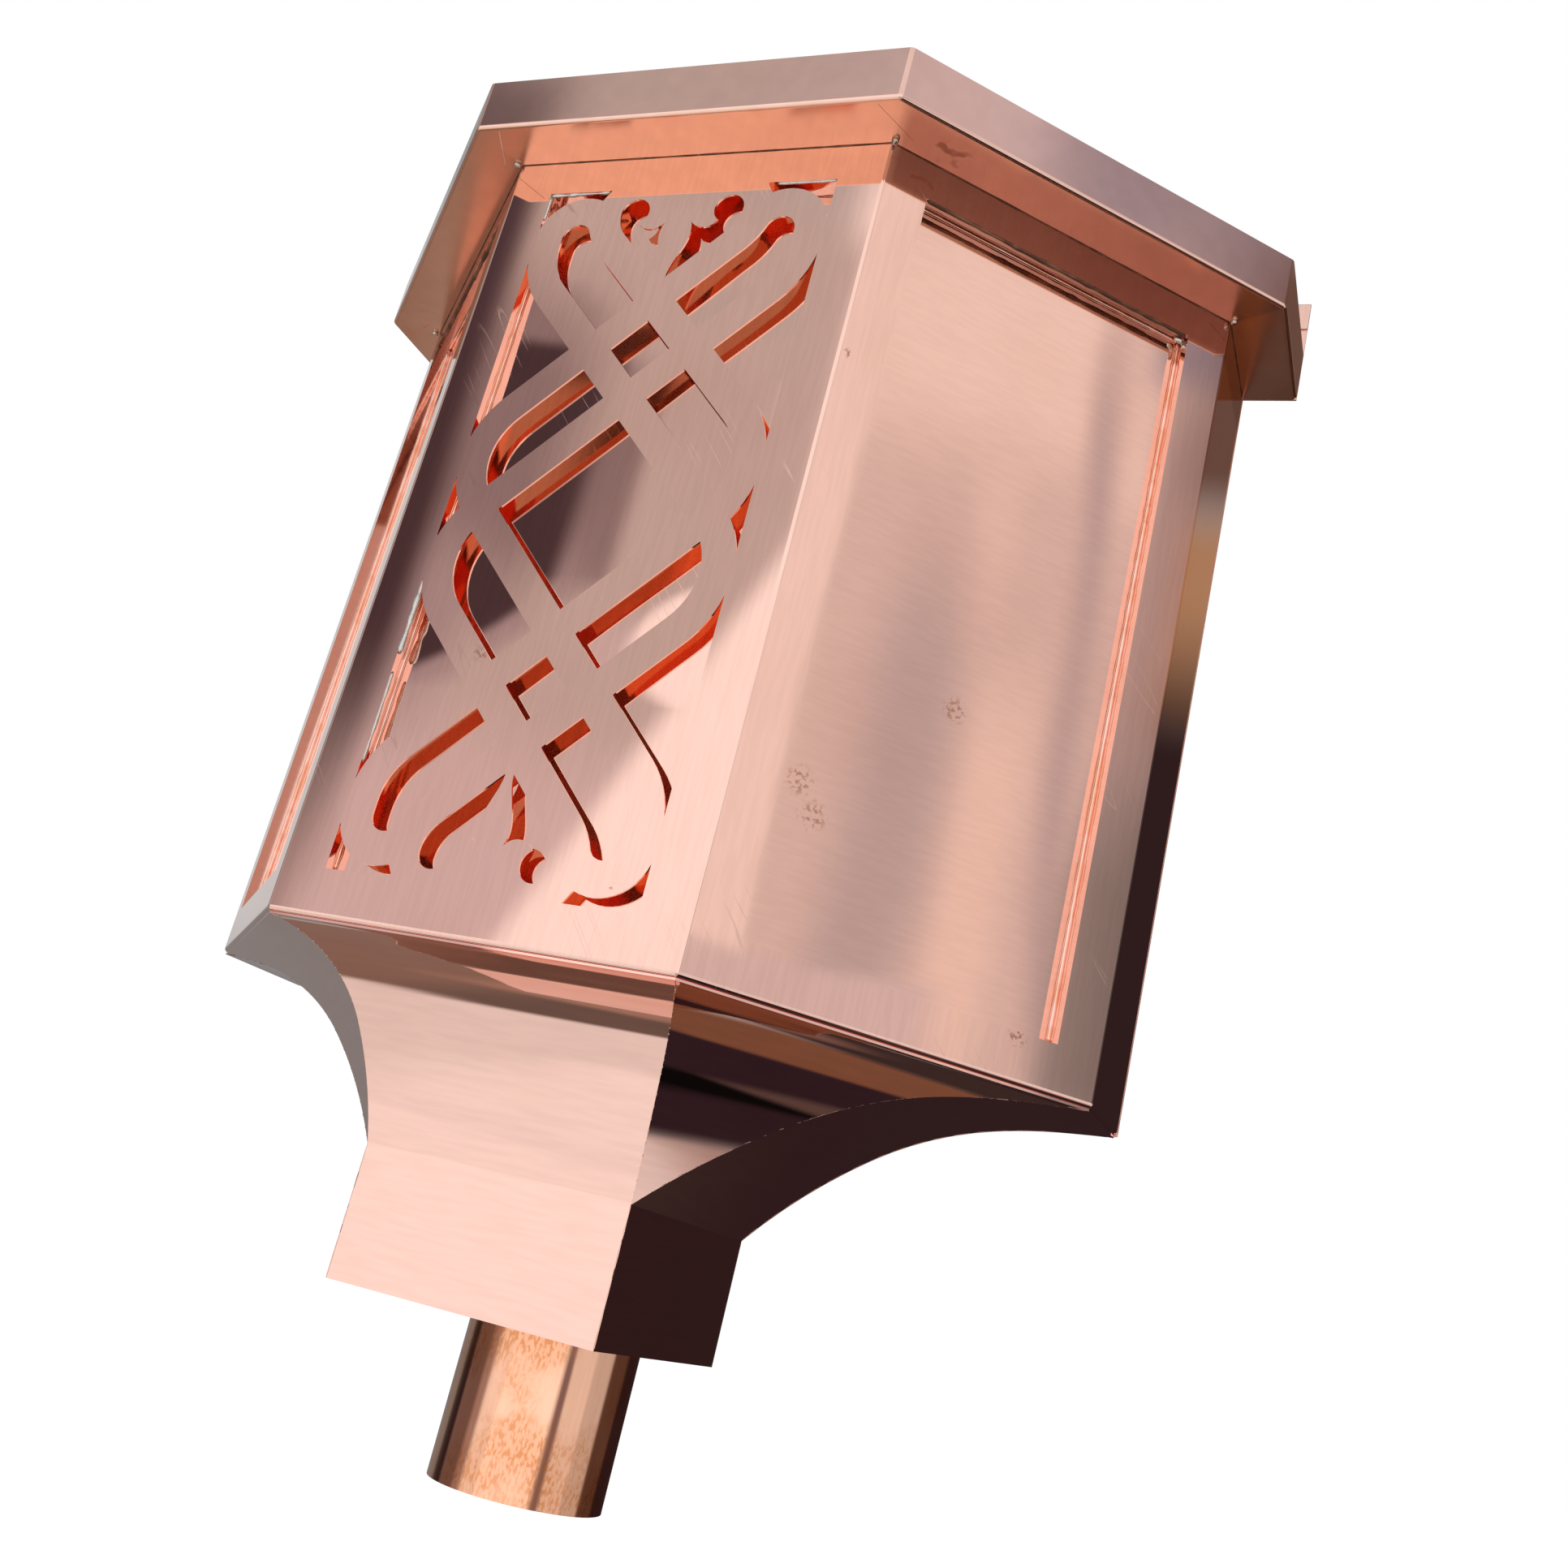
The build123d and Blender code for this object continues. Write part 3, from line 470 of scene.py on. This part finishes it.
# Smears in the window's corners behind the interlace: points as x, depth behind the face and z, then
# radius and unevenness
LEFT = -FRONT_WINDOW
BACKING_SMEARS = {
    "upper": ([(LEFT + 0.0002, 0.0012, -0.232), (LEFT + 0.0002, 0.0012, -0.272)], 0.0014, 0.45),
    "lower": ([(LEFT + 0.0002, 0.0010, -0.281), (LEFT + 0.0002, 0.0010, -0.325)], 0.0007, 0.5),
    "corner": ([(LEFT + 0.0004, 0.0009, -0.034), (LEFT + 0.0004, 0.0009, WINDOW_TOP - 0.0008),
                (-0.0435, 0.0009, WINDOW_TOP - 0.0004)], 0.0008, 0.6),
    "top": ([(0.046, 0.0010, WINDOW_TOP - 0.0003), (0.0765, 0.0010, WINDOW_TOP - 0.0003)], 0.0005, 0.4),
}


def wandering(random, count):
    """Smooth random row between 0 and 1."""
    knots = [random.random() for _ in range(count // STEPS_PER_KNOT + 3)]
    row = []
    for index in range(count):
        place = index / STEPS_PER_KNOT
        share = place - int(place)
        share = share * share * (3 - 2 * share)
        row.append(knots[int(place)] * (1 - share) + knots[int(place) + 1] * share)
    return row


def spread(points, gap):
    """Points about a gap apart along a line of straight runs."""
    corners = [Vector(point) for point in points]
    placed = [corners[0]]
    for start, end in zip(corners, corners[1:]):
        steps = max(1, round((end - start).length / gap))
        placed += [start.lerp(end, step / steps) for step in range(1, steps + 1)]
    return placed


def bead(name, points, radius, material, wobble=0.3, gap=0.0015, sides=8, seed=1):
    """Run of solder along a line, with a thickness that wanders."""
    line = spread(points, gap)
    random = Random(seed)
    swell = wandering(random, len(line))
    vertices, faces = [], []
    for index, centre in enumerate(line):
        ahead = (line[min(index + 1, len(line) - 1)] - line[max(index - 1, 0)]).normalized()
        aside = ahead.cross(SLANT).normalized()
        other = ahead.cross(aside)
        size = radius * (1 + wobble * (2 * swell[index] - 1))
        if index in (0, len(line) - 1):
            size *= END_TAPER
        for side in range(sides):
            turn = 2 * pi * side / sides
            vertices.append(centre + size * (cos(turn) * aside + sin(turn) * other))
    for index in range(len(line) - 1):
        for side in range(sides):
            a, b = index * sides + side, index * sides + (side + 1) % sides
            faces.append((a, b, b + sides, a + sides))
    faces.append(tuple(range(sides))[::-1])
    last = (len(line) - 1) * sides
    faces.append(tuple(range(last, last + sides)))
    mesh = bpy.data.meshes.new(name)
    mesh.from_pydata(vertices, [], faces)
    mesh.materials.append(material)
    for polygon in mesh.polygons:
        polygon.use_smooth = True
    piece = bpy.data.objects.new(name, mesh)
    bpy.context.collection.objects.link(piece)
    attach(piece, "root")


def on_chamfer(aside, depth, z):
    """Point on the right chamfer: from its middle, in from its face, at a height."""
    mid_x, mid_y = (FRONT_X + BODY_X) / 2, (FRONT_Y + SIDE_Y) / 2
    return (mid_x + (aside - depth) * DIAGONAL, mid_y + (aside + depth) * DIAGONAL, z)


def mirrored(points):
    return [(-x, y, z) for x, y, z in points]


def both_sides(name, points, radius, material, wobble, seeds):
    """The same run of solder on the right and, mirrored, on the left."""
    bead(f"{name}_right", points, radius, material, wobble, seed=seeds[0])
    bead(f"{name}_left", mirrored(points), radius, material, wobble, seed=seeds[1])


def body_outline(z, out):
    """Half of the body's outline from the middle of the front to the wall, rounded at the folds."""
    points = [(0.0, FRONT_Y - out, z)]
    for x, y, turn in ((FRONT_X, FRONT_Y, 22.5), (BODY_X, SIDE_Y, 67.5)):
        inward = FOLD / cos(radians(22.5))
        middle = (x - inward * sin(radians(turn)), y + inward * cos(radians(turn)))
        for step in range(-2, 3):
            angle = radians(turn + 11.25 * step)
            radius = FOLD + out
            points.append((middle[0] + radius * sin(angle), middle[1] - radius * cos(angle), z))
    points.append((BODY_X + out, SEAM_END, z))
    return points


def cove_edge(node, kept, outermost):
    """Outer edge of a cove sheet, from the body down to the outlet box, among its kept corners."""
    mesh = nodes[node].data
    heights = {}
    for vertex in mesh.vertices:
        point = nodes[node].matrix_world @ vertex.co
        if not kept(point):
            continue
        key = round(point.z, 4)
        if key not in heights or outermost(point) > outermost(heights[key]):
            heights[key] = point
    return [tuple(heights[key]) for key in sorted(heights, reverse=True)]


def soffit_seams(silver, flux):
    """Where the soffit meets the body, and the solder at the inner ends of its mitres."""
    both_sides("soffit_seam", body_outline(-0.0002, 0.0001), 0.00022, flux, 0.35, (11, 12))
    corners = {"front": (FRONT_X, FRONT_Y, -0.001), "side": (BODY_X, SIDE_Y, -0.001)}
    for side, sign in (("right", 1), ("left", -1)):
        for seed, (place, (x, y, z)) in enumerate(corners.items(), 20):
            ends = [(sign * (x + 0.0005), y - 0.0005, z), (sign * (x + 0.003), y - 0.003, z + 0.0005)]
            bead(f"mitre_solder_{place}_{side}", ends, 0.0013, silver, 0.4, 0.0007, seed=seed)


def backing_seams(silver, coppery):
    """In the recess behind the interlace."""
    inset = 0.0005
    x, y = LEFT + inset, FRONT_Y + FRONT_RECESS - inset
    corner = [(x, y, z) for z in (WINDOW_TOP - 0.001, WINDOW_FOOT + 0.001)]
    bead("backing_fillet_left", corner, 0.0009, coppery, 0.25, seed=31)
    for seed, (place, (smear, radius, wobble)) in enumerate(BACKING_SMEARS.items(), 32):
        points = [(x, FRONT_Y + depth, z) for x, depth, z in smear]
        bead(f"backing_solder_{place}", points, radius, silver, wobble, seed=seed)


def panel_seams(silver, coppery, flux):
    """In the recesses of the side panels."""
    aside, depth = CHAMFER_WINDOW - 0.0007, CHAMFER_RECESS - 0.0007
    top, foot = WINDOW_TOP - 0.0008, WINDOW_FOOT + 0.0008
    upright = [on_chamfer(aside, depth, top), on_chamfer(aside, depth, foot)]
    both_sides("panel_fillet", upright, 0.0011, coppery, 0.2, (41, 43))
    across = [on_chamfer(-aside, depth, top), on_chamfer(aside, depth, top)]
    both_sides("panel_fillet_top", across, 0.0008, coppery, 0.2, (44, 46))
    # Painted shadow: a dark flux bead along the windows' top edge stands in for the shadow gap under the
    # strip
    lip = [on_chamfer(-aside, 0.0012, WINDOW_TOP), on_chamfer(aside, 0.0012, WINDOW_TOP)]
    both_sides("panel_shadow_bead_top", lip, 0.0011, flux, 0.25, (47, 48))
    blob = [
        on_chamfer(aside - 0.004, depth - 0.002, top),
        on_chamfer(aside, depth - 0.003, top - 0.001),
        on_chamfer(aside + 0.0004, depth - 0.0055, top - 0.006),
    ]
    bead("panel_solder_corner_right", blob, 0.0014, silver, 0.4, 0.001, seed=45)


def cove_seams(coppery, dull):
    """Between the cove sheets, down to the outlet box."""
    front_edge = cove_edge("front_cove", lambda point: point.x > 0,
                           lambda point: (round(point.x, 4), -point.y))
    side_edge = cove_edge("right_side_cove", lambda point: point.y < -0.05,
                          lambda point: (-round(point.y, 4), point.x))
    both_sides("cove_seam_front", front_edge, 0.00022, coppery, 0.5, (51, 53))
    both_sides("cove_seam_side", side_edge, 0.00016, dull, 0.4, (52, 54))


def outlet_seam(silver):
    """Ring of solder round the outlet, under the box."""
    ring = []
    for step in range(RING_STEPS + 1):
        angle = radians(360 / RING_STEPS * step)
        x, y = OUTLET_AT[0] + OUTLET_R * cos(angle), OUTLET_AT[1] + OUTLET_R * sin(angle)
        ring.append((x, y, BOX_FOOT - 0.0006))
    bead("outlet_solder", ring, 0.0007, silver, 0.35, 0.002, seed=61)


def solder_seams():
    silver = seam_metal("solder", SOLDER, (0.50, 0.42, 0.36), 0.18)
    coppery = seam_metal("seam_copper", (0.955, 0.62, 0.52), (0.90, 0.50, 0.36), 0.06, 0.00003)
    dull = seam_metal("seam_dull", (0.42, 0.24, 0.19), (0.30, 0.17, 0.14), 0.25, 0.00003)
    flux = seam_metal("flux", FLUX, (0.30, 0.14, 0.08), 0.4, 0.0001, 0.6)
    soffit_seams(silver, flux)
    backing_seams(silver, coppery)
    panel_seams(silver, coppery, flux)
    cove_seams(coppery, dull)
    outlet_seam(silver)


bpy.context.scene.view_settings.view_transform = "Standard"
bpy.context.scene.cycles.glossy_bounces = GLOSSY_BOUNCES
make_world()
make_floor()
make_camera()
dress_frame()
solder_seams()
